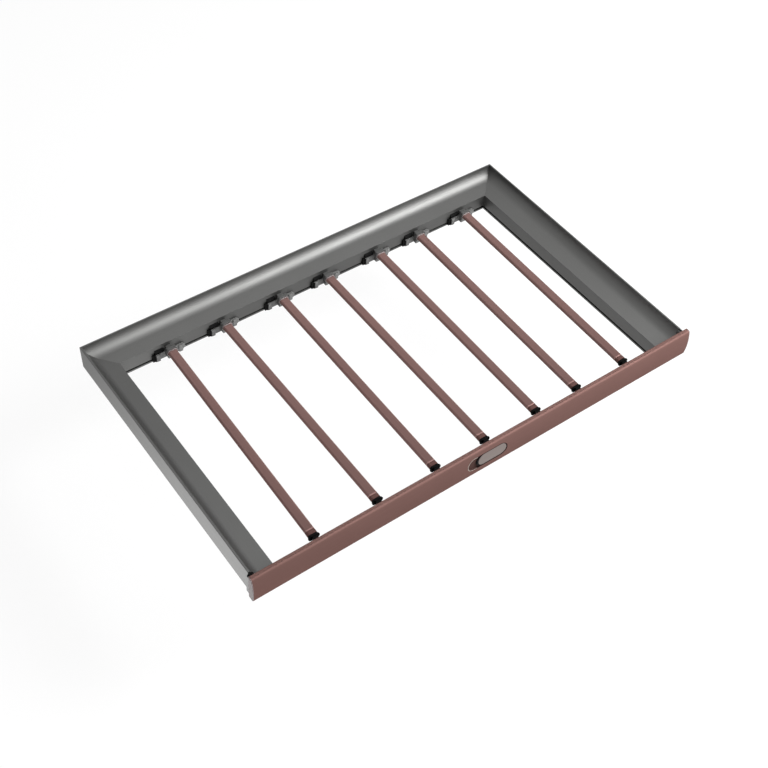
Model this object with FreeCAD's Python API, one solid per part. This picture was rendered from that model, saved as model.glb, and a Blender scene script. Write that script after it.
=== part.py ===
import FreeCAD, Part
import math
import os

# Pull-out trouser rack: a three-sided coved aluminium frame, closed at the front by a bulged panel,
# with seven hanging bars that slide along two tracks, on a pair of concealed full-extension runners.
#
# Millimetres. X runs to the right, the front panel faces -Y, Z is up and 0 under the runners.
# While the pieces are made, Y = 0 is the front end of the side profiles.
# Sections of the frame profile are drawn as (u, z): u is measured inwards from the outer face.

V = FreeCAD.Vector

# ---- frame -----------------------------------------------------------------------------------
FRAME_WIDTH = 850.0        # over the outer faces of the two side profiles
SIDE_DEPTH = 508.0         # side profile, front end to the outer face of the rear profile
PROFILE_WIDTH = 45.0
LIP_TOP = 58.0             # top of the outer lip
OUTER_FOOT = 11.0          # bottom of the outer wall, kept short to clear the runner's fixings
INNER_FOOT = 1.5           # bottom of the inner wall
WALL = 1.8
LIP_WIDTH = 3.2
COVE_RADIUS = 21.5
LEDGE_SLOPE = math.radians(9)
WEB_BOTTOM = 27.0          # web that closes the hollow chamber over the runner
WEB = 1.5
GROOVE_LOW, GROOVE_HIGH = 4.7, 8.3      # mouth of the T groove in the inner wall
GROOVE_DEPTH, GROOVE_HEIGHT = 3.8, 7.3  # its chamber behind the wall
GROOVE_WALL = 1.4
HALF = FRAME_WIDTH / 2
INNER_X = HALF - PROFILE_WIDTH
INNER_Y = SIDE_DEPTH - PROFILE_WIDTH

# ---- front panel -----------------------------------------------------------------------------
PANEL_LENGTH = 860.0       # over both end caps
PANEL_TOP, PANEL_BOTTOM = 62.0, 10.0
PANEL_BACK = -8.0
PANEL_FRONT = -20.0        # crown of the bulged face
BULGE_RADIUS, CROWN_HEIGHT = 123.0, 31.0
SHOULDER_RADIUS = 3.8      # between the flat top and the bulge
PANEL_EDGE = 1.2           # rounding of its other edges
PANEL_SKIN = 1.8
CAP = 1.5
CAP_PLUG, CAP_PLUG_DEPTH = 8.0, 4.5

# ---- bars ------------------------------------------------------------------------------------
BAR_HEIGHT = 22.0          # bar axis above the runners' underside
BAR_FRONT_X = (-302.2, -187.7, -77.8, 19.9, 126.2, 213.7, 318.0)
BAR_REAR_X = (-293.2, -188.6, -76.1, 19.9, 129.7, 218.8, 324.1)
PIVOT_Y, REAR_Y = 20.0, 450.0           # where the two lists above hold
BAR_SIZE = (16.5, 8.5)                  # flat oval section: width, height
BAR_WALL = 1.4
COLLAR_SIZE = (16.8, 8.8)
RIM_SIZE = (20.6, 11.6)
TUBE_FRONT, TUBE_REAR = 29.0, 447.7
COLLAR_FRONT, COLLAR_REAR = 21.0, 28.2  # the gap to the tube shows as a groove
RIM_FRONT = 16.4
PEG = (10.0, 5.0)                       # pegs pressed into the tube: width, height
TENON = (5.0, 5.0)                      # from the cup into the collar
CARRIER_LOW, CARRIER_HIGH = 3.0, 17.0   # its wings
CARRIER_HALF, PLATE_DEPTH = 30.0, 3.0
LUMP = ((15, 0), (18, 6), (24, 6), (27, 0))     # on each wing, as (out, depth)
BOSS_FRONT, BOSS_REAR, BOSS_HALF = 448.0, 454.0, 9.5
BOSS_LOW, BOSS_HIGH, BOSS_CORNER = 15.5, 30.0, 3.5
NECK_HALF, NECK_HIGH = 5.0, 26.0

# ---- track behind the panel ------------------------------------------------------------------
TRACK_HALF_LENGTH = 376.0
TRACK_DEPTH, TRACK_HEIGHT, TRACK_WALL = 16.0, 18.0, 1.6
TRACK_MOUTH = 9.0

# ---- runners ---------------------------------------------------------------------------------
RUNNER_X = HALF - 21.5     # centre line of each runner
RUNNER_FRONT, RUNNER_REAR = 28.0, 456.0
TONGUE_FRONT, TONGUE_REAR = 9.0, 475.0  # flat ends of the cabinet rail
FIXING_FRONT, FIXING_PITCH = 17.0, 448.0
FIXING_RADIUS = 2.25
CAGE_FRONT, CAGE_REAR = 138.0, 346.0
ROLLER_PITCH, ROLLERS = 120.0, 2
ROLLER_RADIUS = 2.25

# ---- thumb slider in the panel ---------------------------------------------------------------
SLIDER_X, SLIDER_Z = -6.0, 38.0
TRAY_LENGTH, TRAY_HEIGHT, TRAY_DEPTH = 78.4, 27.0, 4.2
TRAY_RIM, TRAY_FLOOR = 1.0, 1.1
THUMB_LENGTH, THUMB_GAP, THUMB_TRAVEL = 59.5, 0.4, 13.0
THUMB_SUNK = 0.4           # below the panel's surface


# ---- helpers ---------------------------------------------------------------------------------
def outline(points, place):
    """Closed wire through (a, b) or (a, b, radius) corners; place turns (a, b) into a vector."""
    corners = [(place(p[0], p[1]), p[2] if len(p) > 2 else 0.0) for p in points]
    edges, count = [], len(corners)
    starts, ends, arcs = [], [], []
    for i, (here, radius) in enumerate(corners):
        before, after = corners[i - 1][0], corners[(i + 1) % count][0]
        to_before, to_after = (before - here).normalize(), (after - here).normalize()
        if radius == 0.0:
            starts.append(here)
            ends.append(here)
            arcs.append(None)
            continue
        half_angle = to_before.getAngle(to_after) / 2
        back = radius / math.tan(half_angle)
        first, last = here + to_before * back, here + to_after * back
        bisector = (to_before + to_after).normalize()
        middle = here + bisector * (radius / math.sin(half_angle) - radius)
        starts.append(first)
        ends.append(last)
        arcs.append(Part.Arc(first, middle, last).toShape())
    for i in range(count):
        if arcs[i]:
            edges.append(arcs[i])
        following = starts[(i + 1) % count]
        if ends[i].distanceToPoint(following) > 1e-6:
            edges.append(Part.LineSegment(ends[i], following).toShape())
    return Part.Wire(Part.__sortEdges__(edges))


def prism(points, place, direction):
    """Solid swept along direction from the outline through points."""
    return Part.Face(outline(points, place)).extrude(direction)


def across(x):
    """Places (y, z) in the plane at this x."""
    return lambda y, z: V(x, y, z)


def along(y):
    """Places (x, z) in the plane at this y."""
    return lambda x, z: V(x, y, z)


def level(z):
    """Places (x, y) in the plane at this z."""
    return lambda x, y: V(x, y, z)


def box(x, y, z):
    """Block between the pairs of limits x, y and z."""
    return Part.makeBox(x[1] - x[0], y[1] - y[0], z[1] - z[0], V(x[0], y[0], z[0]))


def mirrored(half):
    """Closed section from its right half, drawn from the top centre to the inner centre."""
    return half + [(-p[0],) + tuple(p[1:]) for p in reversed(half) if p[0] > 0]


def flipped(shape):
    """The right-hand twin of a left-hand piece."""
    return shape.mirror(V(0, 0, 0), V(1, 0, 0))


def obround(length, height, x, z, front, back):
    """Plate with round ends, its length along X, from y = front to y = back."""
    radius, reach = height / 2, (length - height) / 2
    edges = [
        Part.LineSegment(V(x - reach, front, z + radius), V(x + reach, front, z + radius)),
        Part.Arc(V(x + reach, front, z + radius), V(x + reach + radius, front, z),
                 V(x + reach, front, z - radius)),
        Part.LineSegment(V(x + reach, front, z - radius), V(x - reach, front, z - radius)),
        Part.Arc(V(x - reach, front, z - radius), V(x - reach - radius, front, z),
                 V(x - reach, front, z + radius)),
    ]
    return Part.Face(Part.Wire([edge.toShape() for edge in edges])).extrude(V(0, back - front, 0))


def group(solids):
    """Separate solids that share one node."""
    return Part.makeCompound(solids)


# ---- frame profile ---------------------------------------------------------------------------
COVE_CENTRE_U = LIP_WIDTH + COVE_RADIUS
COVE_TURN = math.pi / 2 - LEDGE_SLOPE    # the arc ends where it meets the sloping ledge


def cove_point(angle, sunk):
    """(u, z) on the cove, sunk below its surface; angle runs from the lip."""
    radius = COVE_RADIUS + sunk
    return COVE_CENTRE_U - radius * math.cos(angle), LIP_TOP - radius * math.sin(angle)


def ledge_height(u, sunk):
    """Height of the ledge, sunk below its surface, at u."""
    end_u, end_z = cove_point(COVE_TURN, sunk)
    return end_z - (u - end_u) * math.tan(LEDGE_SLOPE)


def coved_face(left_of_cove, first_angle, inner_u, sunk, right_of_ledge):
    """Face in (u, z) whose upper edge is the cove and the ledge; u becomes X."""
    start, middle = cove_point(first_angle, sunk), cove_point((first_angle + COVE_TURN) / 2, sunk)
    end, edge = cove_point(COVE_TURN, sunk), (inner_u, ledge_height(inner_u, sunk))
    run = [edge] + right_of_ledge + left_of_cove + [start]
    place = along(0)
    pieces = [Part.Arc(place(*start), place(*middle), place(*end)).toShape(),
              Part.LineSegment(place(*end), place(*edge)).toShape()]
    for here, following in zip(run, run[1:]):
        pieces.append(Part.LineSegment(place(*here), place(*following)).toShape())
    return Part.Face(Part.Wire(Part.__sortEdges__(pieces)))


def profile_section():
    """The frame's extruded section: cove over a hollow chamber, short outer wall, grooved inner wall."""
    inner = PROFILE_WIDTH
    wall_back = inner - WALL
    chamber_low = (GROOVE_LOW + GROOVE_HIGH - GROOVE_HEIGHT) / 2
    chamber_high = chamber_low + GROOVE_HEIGHT
    chamber_back = wall_back - GROOVE_DEPTH
    right = [(inner, GROOVE_HIGH), (wall_back, GROOVE_HIGH), (wall_back, chamber_high),
             (chamber_back, chamber_high), (chamber_back, chamber_low), (wall_back, chamber_low),
             (wall_back, GROOVE_LOW), (inner, GROOVE_LOW), (inner, INNER_FOOT),
             (chamber_back - GROOVE_WALL, INNER_FOOT),
             (chamber_back - GROOVE_WALL, chamber_high + GROOVE_WALL),
             (wall_back, chamber_high + GROOVE_WALL), (wall_back, WEB_BOTTOM)]
    left = [(WALL, WEB_BOTTOM), (WALL, OUTER_FOOT), (0, OUTER_FOOT), (0, LIP_TOP - 0.8), (0.8, LIP_TOP)]
    solid = coved_face(left, 0.0, inner, 0.0, right)
    meets_wall = math.acos((COVE_CENTRE_U - WALL) / (COVE_RADIUS + WALL))
    web_top = WEB_BOTTOM + WEB
    chamber = coved_face([(WALL, web_top)], meets_wall, wall_back, WALL, [(wall_back, web_top)])
    return solid.cut(chamber)


def side_profile():
    """Left side profile, mitred at the rear."""
    bar = profile_section().extrude(V(0, SIDE_DEPTH, 0))
    bar.translate(V(-HALF, 0, 0))
    plan = [(-HALF - 1, -1), (-INNER_X, -1), (-INNER_X, INNER_Y), (-HALF, SIDE_DEPTH),
            (-HALF - 1, SIDE_DEPTH + 1)]
    return bar.common(prism(plan, level(0), V(0, 0, LIP_TOP)))


def rear_profile():
    """Rear profile, mitred at both ends and notched where the runners pass under it."""
    bar = profile_section().extrude(V(0, FRAME_WIDTH, 0))
    bar.rotate(V(0, 0, 0), V(0, 0, 1), -90)
    bar.translate(V(-HALF, SIDE_DEPTH, 0))
    plan = [(-HALF, SIDE_DEPTH), (HALF, SIDE_DEPTH), (INNER_X, INNER_Y), (-INNER_X, INNER_Y)]
    piece = bar.common(prism(plan, level(0), V(0, 0, LIP_TOP)))
    notch_half, notch_top = 15.5, 23.0
    notch = box((-RUNNER_X - notch_half, -RUNNER_X + notch_half),
                (SIDE_DEPTH - WALL - 1, SIDE_DEPTH + 1), (0, notch_top))
    return piece.cut(notch).cut(flipped(notch))


# ---- corner joint at the rear ----------------------------------------------------------------
KEY_EDGE, KEY_WIDTH, KEY_LEG = 3.0, 14.0, 57.0
KEY_LOW, KEY_HIGH = 28.6, 34.0


def corner_key():
    """Left L-shaped cleat that fills the hollow chamber on both sides of the mitre."""
    x0, y0 = -HALF + KEY_EDGE, SIDE_DEPTH - KEY_EDGE
    leg, width = KEY_LEG, KEY_WIDTH
    plan = [(x0, y0), (x0 + leg, y0), (x0 + leg, y0 - width), (x0 + width, y0 - width),
            (x0 + width, y0 - leg), (x0, y0 - leg)]
    return prism(plan, level(KEY_LOW), V(0, 0, KEY_HIGH - KEY_LOW))


# ---- front joint of each side profile --------------------------------------------------------
BLOCK_DEPTH = 7.0


def end_block():
    """Left block that closes the runner channel's front end and runs down to full height."""
    gap = 0.1
    groove_top = INNER_FOOT + GROOVE_HEIGHT + 2 * GROOVE_WALL + gap
    groove_side = PROFILE_WIDTH - WALL - GROOVE_DEPTH - GROOVE_WALL - gap
    section = [(0, INNER_FOOT), (groove_side, INNER_FOOT), (groove_side, groove_top),
               (PROFILE_WIDTH - WALL - gap, groove_top), (PROFILE_WIDTH - WALL - gap, WEB_BOTTOM - gap),
               (WALL + gap, WEB_BOTTOM - gap), (WALL + gap, OUTER_FOOT - gap), (0, OUTER_FOOT - gap)]
    block = prism(section, along(0), V(0, BLOCK_DEPTH, 0))
    block.translate(V(-HALF, 0, 0))
    return block


FLANGE_BOSS_RADIUS = 4.0
FLANGE_BOSS_U, FLANGE_BOSS_Z = 4.0, 51.5


def joint_flange():
    """Left spacer between the profile's end and the panel, with a screw boss beside the lip."""
    sunk, foot = 0.6, 2.1
    first = math.asin(sunk / (COVE_RADIUS + sunk))
    inner = PROFILE_WIDTH - sunk
    face = coved_face([(sunk, foot), (sunk, LIP_TOP - sunk)], first, inner, sunk, [(inner, foot)])
    flange = face.extrude(V(0, -PANEL_BACK, 0))
    boss = Part.makeCylinder(FLANGE_BOSS_RADIUS, -PANEL_BACK, V(FLANGE_BOSS_U, 0, FLANGE_BOSS_Z), V(0, 1, 0))
    flange = flange.fuse(boss).removeSplitter()
    flange.translate(V(-HALF, PANEL_BACK, 0))
    return flange


# ---- front panel -----------------------------------------------------------------------------
def panel_face(sunk):
    """Panel section at x = 0, drawn sunk inside its surface: flat top, rounded shoulder, bulge."""
    top, bottom = PANEL_TOP - sunk, PANEL_BOTTOM + sunk
    back = PANEL_BACK - sunk
    bulge, shoulder = BULGE_RADIUS - sunk, SHOULDER_RADIUS - sunk
    bulge_y = PANEL_FRONT + BULGE_RADIUS
    shoulder_z = PANEL_TOP - SHOULDER_RADIUS
    shoulder_y = bulge_y - math.sqrt((bulge - shoulder) ** 2 - (shoulder_z - CROWN_HEIGHT) ** 2)
    meets = math.atan2(shoulder_z - CROWN_HEIGHT, bulge_y - shoulder_y)
    foot = -math.asin((CROWN_HEIGHT - bottom) / bulge)
    place = across(0)

    def on_arc(y, z, radius, angle):
        return place(y - radius * math.cos(angle), z + radius * math.sin(angle))

    def arc(y, z, radius, start, end):
        return Part.Arc(*[on_arc(y, z, radius, angle) for angle in (start, (start + end) / 2, end)])

    edges = [Part.LineSegment(place(back, bottom), place(back, top)),
             Part.LineSegment(place(back, top), place(shoulder_y, top)),
             arc(shoulder_y, shoulder_z, shoulder, math.pi / 2, meets),
             arc(bulge_y, CROWN_HEIGHT, bulge, meets, foot),
             Part.LineSegment(on_arc(bulge_y, CROWN_HEIGHT, bulge, foot), place(back, bottom))]
    return Part.Face(Part.Wire([edge.toShape() for edge in edges]))


def panel_bar(sunk, left, right):
    """Bar of the panel's section, sunk inside its surface, from x = left to x = right."""
    bar = panel_face(sunk).extrude(V(right - left, 0, 0))
    bar.translate(V(left, 0, 0))
    return bar


def edged_panel_bar(left, right):
    """The same at full size, with the edges at its back and foot rounded."""
    bar = panel_bar(0.0, left, right)
    sharp = [edge for edge in bar.Edges if edge.BoundBox.XLength > 0.9 * (right - left)
             and (edge.BoundBox.YMin > PANEL_BACK - 0.1 or edge.BoundBox.ZMax < PANEL_BOTTOM + 0.1)]
    return bar.makeFillet(PANEL_EDGE, sharp)


def front_panel():
    """Hollow bulged extrusion with an obround opening for the slider's tray."""
    half = PANEL_LENGTH / 2 - CAP
    body = edged_panel_bar(-half, half).cut(panel_bar(PANEL_SKIN, -half, half))
    return body.cut(obround(TRAY_LENGTH, TRAY_HEIGHT, SLIDER_X, SLIDER_Z, PANEL_FRONT - 1,
                            PANEL_FRONT + PANEL_SKIN + 3))


def panel_cap():
    """Left end cap: a cover of the panel's section with a tongue that fits its hollow."""
    cover = edged_panel_bar(0, CAP)
    plug_back = PANEL_BACK - PANEL_SKIN - 0.1
    plug = box((0, CAP + CAP_PLUG), (plug_back - CAP_PLUG_DEPTH, plug_back),
               (PANEL_BOTTOM + PANEL_SKIN + 0.1, PANEL_TOP - PANEL_SKIN - 0.1))
    cap = cover.fuse(plug).removeSplitter()
    cap.translate(V(-PANEL_LENGTH / 2, 0, 0))
    return cap


# ---- front track -----------------------------------------------------------------------------
def front_track():
    """C track fixed to the panel's back, its mouth towards the bars."""
    back, mouth = PANEL_BACK, PANEL_BACK + TRACK_DEPTH
    low, high = BAR_HEIGHT - TRACK_HEIGHT / 2, BAR_HEIGHT + TRACK_HEIGHT / 2
    lip_low, lip_high = BAR_HEIGHT - TRACK_MOUTH / 2, BAR_HEIGHT + TRACK_MOUTH / 2
    wall = TRACK_WALL
    section = [(back, low), (mouth, low), (mouth, lip_low), (mouth - wall, lip_low),
               (mouth - wall, low + wall), (back + wall, low + wall), (back + wall, high - wall),
               (mouth - wall, high - wall), (mouth - wall, lip_high), (mouth, lip_high),
               (mouth, high), (back, high)]
    return prism(section, across(-TRACK_HALF_LENGTH), V(2 * TRACK_HALF_LENGTH, 0, 0))


# ---- thumb slider ----------------------------------------------------------------------------
TRAY_FRONT = PANEL_FRONT - 0.1
TRAY_FLOOR_Y = TRAY_FRONT + TRAY_DEPTH - TRAY_FLOOR
STEM_LENGTH, STEM_HEIGHT = 12.0, 6.0


def thumb_centre_x():
    """At rest the thumb plate lies at the right end of its tray."""
    return SLIDER_X + TRAY_LENGTH / 2 - TRAY_RIM - THUMB_GAP - THUMB_LENGTH / 2


def slider_tray():
    """Obround dish set in the panel, its rim following the bulge, slotted for the slider's stem."""
    dish = obround(TRAY_LENGTH - 0.1, TRAY_HEIGHT - 0.1, SLIDER_X, SLIDER_Z, TRAY_FRONT - 1,
                   TRAY_FRONT + TRAY_DEPTH)
    dish = dish.common(panel_bar(TRAY_FRONT - PANEL_FRONT, SLIDER_X - TRAY_LENGTH, SLIDER_X + TRAY_LENGTH))
    dish = dish.cut(obround(TRAY_LENGTH - 2 * TRAY_RIM, TRAY_HEIGHT - 2 * TRAY_RIM, SLIDER_X,
                            SLIDER_Z, TRAY_FRONT - 1, TRAY_FLOOR_Y))
    slot_x, reach = thumb_centre_x() - THUMB_TRAVEL / 2, (STEM_LENGTH + THUMB_TRAVEL) / 2 + 0.6
    slot = box((slot_x - reach, slot_x + reach), (TRAY_FLOOR_Y - 1, TRAY_FRONT + TRAY_DEPTH + 1),
               (SLIDER_Z - STEM_HEIGHT / 2 - 0.4, SLIDER_Z + STEM_HEIGHT / 2 + 0.4))
    return dish.cut(slot)


def thumb_slider():
    """Obround thumb plate with a stem that goes through the tray."""
    x = thumb_centre_x()
    height = TRAY_HEIGHT - 2 * TRAY_RIM - 2 * THUMB_GAP
    plate = obround(THUMB_LENGTH, height, x, SLIDER_Z, TRAY_FRONT, TRAY_FLOOR_Y - 0.3)
    plate = plate.common(panel_bar(THUMB_SUNK, x - THUMB_LENGTH, x + THUMB_LENGTH))
    stem = box((x - STEM_LENGTH / 2, x + STEM_LENGTH / 2), (TRAY_FLOOR_Y - 1, TRAY_FRONT + TRAY_DEPTH + 0.3),
               (SLIDER_Z - STEM_HEIGHT / 2, SLIDER_Z + STEM_HEIGHT / 2))
    return plate.fuse(stem).removeSplitter()


def slider_shoe():
    """Shoe that keeps the slider in its tray, behind the slot."""
    x, back = thumb_centre_x(), TRAY_FRONT + TRAY_DEPTH + 0.3
    return box((x - 11, x + 11), (back, back + 2.4), (SLIDER_Z - 6, SLIDER_Z + 6))


# ---- runners ---------------------------------------------------------------------------------
# Half sections of the three nested rails, as (distance from the centre line, height).
CABINET_HALF = [(0, 15), (7.5, 15, 1.0), (7.5, 9), (5.5, 9), (5.5, 1.5), (14.5, 1.5), (14.5, 0), (4, 0),
                (4, 10.5), (6, 10.5), (6, 13.5), (0, 13.5)]
MIDDLE_HALF = [(0, 20.9), (10.3, 20.9, 1.5), (10.3, 7.3), (5.9, 7.3), (5.9, 8.6), (9, 8.6), (9, 19.6),
               (0, 19.6)]
DRAWER_HALF = [(0, 27), (14.1, 27, 1.5), (14.1, 5.5), (8, 5.5), (8, 6.8), (12.8, 6.8), (12.8, 25.5),
               (0, 25.5)]
# Roller cages: half width, underside and top of the plate, bottom of the skirts, skirt thickness.
LOWER_CAGE = (8.7, 16.5, 18.1, 10.0, 0.9)
UPPER_CAGE = (12.3, 22.3, 24.1, 9.5, 1.3)
LOWER_ROLLER_HALF, UPPER_ROLLER_HALF = 5.0, 8.0
LOWER_ROLLER_Z, UPPER_ROLLER_Z = 17.3, 23.2


def rail(half, front, rear):
    """Left rail swept from front to rear."""
    piece = prism(mirrored(half), along(front), V(0, rear - front, 0))
    piece.translate(V(-RUNNER_X, 0, 0))
    return piece


def cabinet_rail():
    """Left fixed rail: two flat tongues with fixing holes, and a stop turned up at the rear."""
    hat = rail(CABINET_HALF, RUNNER_FRONT, RUNNER_REAR)
    flange = CABINET_HALF[5][0]
    tongues = [box((-RUNNER_X - flange, -RUNNER_X + flange), limits, (0, 1.5))
               for limits in ((TONGUE_FRONT, RUNNER_FRONT + 4), (RUNNER_REAR - 4, TONGUE_REAR))]
    stop = box((-RUNNER_X - 12, -RUNNER_X + 12), (RUNNER_REAR + 5, RUNNER_REAR + 6.5), (0, 20))
    piece = hat.multiFuse(tongues + [stop]).removeSplitter()
    for y in (FIXING_FRONT, FIXING_FRONT + FIXING_PITCH):
        piece = piece.cut(Part.makeCylinder(FIXING_RADIUS, 4, V(-RUNNER_X, y, -1)))
    return piece


def roller_places():
    first = (CAGE_FRONT + CAGE_REAR - (ROLLERS - 1) * ROLLER_PITCH) / 2
    return [first + i * ROLLER_PITCH for i in range(ROLLERS)]


def roller_cage(size, roller_half):
    """Left cage: a plate with roller windows and two skirts that guide it on the rail below."""
    half, low, high, skirt, thickness = size
    section = [(0, high), (half, high), (half, skirt), (half - thickness, skirt),
               (half - thickness, low), (0, low)]
    cage = rail(section, CAGE_FRONT, CAGE_REAR)
    for y in roller_places():
        window = box((-RUNNER_X - roller_half - 0.4, -RUNNER_X + roller_half + 0.4),
                     (y - ROLLER_RADIUS - 0.3, y + ROLLER_RADIUS + 0.3), (low - 1, high + 1))
        cage = cage.cut(window)
    return cage


def rollers(roller_half, height):
    """Left row of rollers."""
    return [Part.makeCylinder(ROLLER_RADIUS, 2 * roller_half, V(-RUNNER_X - roller_half, y, height),
                              V(1, 0, 0)) for y in roller_places()]


def closing_buffer():
    """Left rubber buffer on the cabinet rail's stop."""
    front = RUNNER_REAR + 0.6
    return box((-RUNNER_X - 13, -RUNNER_X + 13), (front, RUNNER_REAR + 5), (8, 18))


# ---- bars ------------------------------------------------------------------------------------
def bar_lean(i):
    """Angle of a bar to the Y axis, in degrees."""
    return math.degrees(math.atan2(BAR_REAR_X[i] - BAR_FRONT_X[i], REAR_Y - PIVOT_Y))


def leaned(shape, i):
    """Turns a piece made along Y on to its bar's line."""
    shape.rotate(V(BAR_FRONT_X[i], PIVOT_Y, 0), V(0, 0, 1), -bar_lean(i))
    return shape


def oval_bar(i, size, front, back):
    """Flat oval bar on the bar's line, from y = front to y = back; size is its width and height."""
    return leaned(obround(size[0], size[1], BAR_FRONT_X[i], BAR_HEIGHT, front, back), i)


def peg(i, size, front, back):
    """Block on the bar's line, from y = front to y = back; size is its width and height."""
    x, half = BAR_FRONT_X[i], size[0] / 2
    block = box((x - half, x + half), (front, back), (BAR_HEIGHT - size[1] / 2, BAR_HEIGHT + size[1] / 2))
    return leaned(block, i)


def bar_tube(i):
    inner = [side - 2 * BAR_WALL for side in BAR_SIZE]
    return oval_bar(i, BAR_SIZE, TUBE_FRONT, TUBE_REAR).cut(oval_bar(i, inner, TUBE_FRONT - 1, TUBE_REAR + 1))


def bar_collar(i):
    """Ferrule that closes the tube's front end, pegged into it and bored square for the cup's tenon."""
    ferrule = oval_bar(i, COLLAR_SIZE, COLLAR_FRONT, COLLAR_REAR)
    ferrule = ferrule.fuse(peg(i, PEG, COLLAR_REAR - 1, TUBE_FRONT + 10))
    bore = [side + 0.04 for side in TENON]
    return ferrule.cut(peg(i, bore, COLLAR_FRONT - 1, COLLAR_FRONT + 6))


def t_foot(neck, head, neck_y, head_y, x, z):
    """T foot for a slot: neck and head are half width and half height, the y values their ends."""
    parts = [box((x - half[0], x + half[0]), limits, (z - half[1], z + half[1]))
             for half, limits in ((neck, neck_y), (head, head_y))]
    return parts[0].fuse(parts[1])


def front_cup(i):
    """Cup tenoned into the collar, with a T foot that slides in the front track."""
    mouth = PANEL_BACK + TRACK_DEPTH
    cup = oval_bar(i, RIM_SIZE, RIM_FRONT, COLLAR_FRONT)
    x = BAR_FRONT_X[i] - math.tan(math.radians(bar_lean(i))) * (PIVOT_Y - mouth)
    neck_back = mouth - TRACK_WALL - 0.3
    foot = t_foot((5.0, TRACK_MOUTH / 2 - 0.4), (7.0, TRACK_HEIGHT / 2 - TRACK_WALL - 0.4),
                  (neck_back - 1, RIM_FRONT + 1), (neck_back - 4, neck_back), x, BAR_HEIGHT)
    tenon = peg(i, TENON, COLLAR_FRONT - 1, COLLAR_FRONT + 5.5)
    return cup.multiFuse([foot, tenon]).removeSplitter()


def carrier_wings(x, back):
    """Plate with a lump on each wing, its corners cut off, that rides on the wall over the groove."""
    half, low, high, tip = CARRIER_HALF, CARRIER_LOW, CARRIER_HIGH, 4.0
    plan = [(-half, 0), (-half, PLATE_DEPTH), (half, PLATE_DEPTH), (half, 0)]
    plans = [plan, LUMP, [(-out, depth) for out, depth in LUMP]]
    wings = [prism([(x + out, back - depth) for out, depth in plan], level(low), V(0, 0, high - low))
             for plan in plans]
    corners = [(half, low + tip), (half, high - tip), (half - tip, high), (tip - half, high),
               (-half, high - tip), (-half, low + tip), (tip - half, low), (half - tip, low)]
    depth = max(depth for out, depth in LUMP)
    front = prism([(x + out, z) for out, z in corners], along(back - depth), V(0, depth, 0))
    return wings[0].multiFuse(wings[1:]).common(front)


def rear_carrier(i):
    """Winged holder: a boss with a peg for the bar's rear end and a T foot that slides in the groove."""
    x = BAR_FRONT_X[i] + math.tan(math.radians(bar_lean(i))) * (BOSS_FRONT - PIVOT_Y)
    back, half = INNER_Y - 0.4, BOSS_HALF
    section = [(x - half, BOSS_LOW), (x + half, BOSS_LOW), (x + half, BOSS_HIGH, BOSS_CORNER),
               (x - half, BOSS_HIGH, BOSS_CORNER)]
    boss = prism(section, along(BOSS_FRONT), V(0, BOSS_REAR - BOSS_FRONT, 0))
    neck = box((x - NECK_HALF, x + NECK_HALF), (BOSS_REAR - 1, back), (CARRIER_LOW, NECK_HIGH))
    head_front = INNER_Y + WALL + 0.3
    foot = t_foot((18.0, (GROOVE_HIGH - GROOVE_LOW) / 2 - 0.3), (18.0, GROOVE_HEIGHT / 2 - 0.4),
                  (back - 1, head_front + 1), (head_front, head_front + GROOVE_DEPTH - 0.7),
                  x, (GROOVE_LOW + GROOVE_HIGH) / 2)
    pieces = [boss, neck, foot, peg(i, PEG, TUBE_REAR - 12, BOSS_FRONT + 1)]
    return carrier_wings(x, back).multiFuse(pieces).removeSplitter()


# ---- all pieces ------------------------------------------------------------------------------
def both(name, piece):
    """Left piece and its right-hand twin, each a node of its own."""
    return {name + "_left": piece, name + "_right": flipped(piece)}


def pair(solids):
    """Left solids and their right-hand twins in one node."""
    return group(solids + [flipped(solid) for solid in solids])


def all_pieces():
    pieces = {}
    pieces.update(both("side_profile", side_profile()))
    pieces["rear_profile"] = rear_profile()
    pieces.update(both("corner_key", corner_key()))
    pieces.update(both("end_block", end_block()))
    pieces.update(both("joint_flange", joint_flange()))
    pieces["front_panel"] = front_panel()
    pieces.update(both("panel_cap", panel_cap()))
    pieces["front_track"] = front_track()
    pieces["slider_tray"] = slider_tray()
    pieces["thumb_slider"] = thumb_slider()
    pieces["slider_shoe"] = slider_shoe()
    pieces.update(both("cabinet_rail", cabinet_rail()))
    pieces.update(both("middle_rail", rail(MIDDLE_HALF, RUNNER_FRONT, RUNNER_REAR)))
    pieces.update(both("drawer_rail", rail(DRAWER_HALF, RUNNER_FRONT, RUNNER_REAR)))
    pieces["lower_roller_cages"] = pair([roller_cage(LOWER_CAGE, LOWER_ROLLER_HALF)])
    pieces["upper_roller_cages"] = pair([roller_cage(UPPER_CAGE, UPPER_ROLLER_HALF)])
    pieces["lower_rollers"] = pair(rollers(LOWER_ROLLER_HALF, LOWER_ROLLER_Z))
    pieces["upper_rollers"] = pair(rollers(UPPER_ROLLER_HALF, UPPER_ROLLER_Z))
    pieces["closing_buffers"] = pair([closing_buffer()])
    for i in range(len(BAR_FRONT_X)):
        number = str(i + 1)
        pieces["bar_tube_" + number] = bar_tube(i)
        pieces["bar_collar_" + number] = bar_collar(i)
        pieces["front_cup_" + number] = front_cup(i)
        pieces["rear_carrier_" + number] = rear_carrier(i)
    return pieces


def main():
    os.makedirs("parts", exist_ok=True)
    middle = (TRAY_FRONT + SIDE_DEPTH) / 2
    for name, shape in all_pieces().items():
        shape.translate(V(0, -middle, 0))
        shape.exportStep("parts/" + name + ".step")
        if not shape.isValid() or min(solid.Volume for solid in shape.Solids) <= 0:
            print("not sound:", name)
    print("Y shift", -middle)


main()
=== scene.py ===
"""Pull-out trouser rack: coved aluminium frame, bulged front panel, seven hanging bars and runners.

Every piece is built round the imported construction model, in metres, in that model's own frame:
X to the right along the front panel, the front panel faces -Y, Z up.
"""

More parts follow.
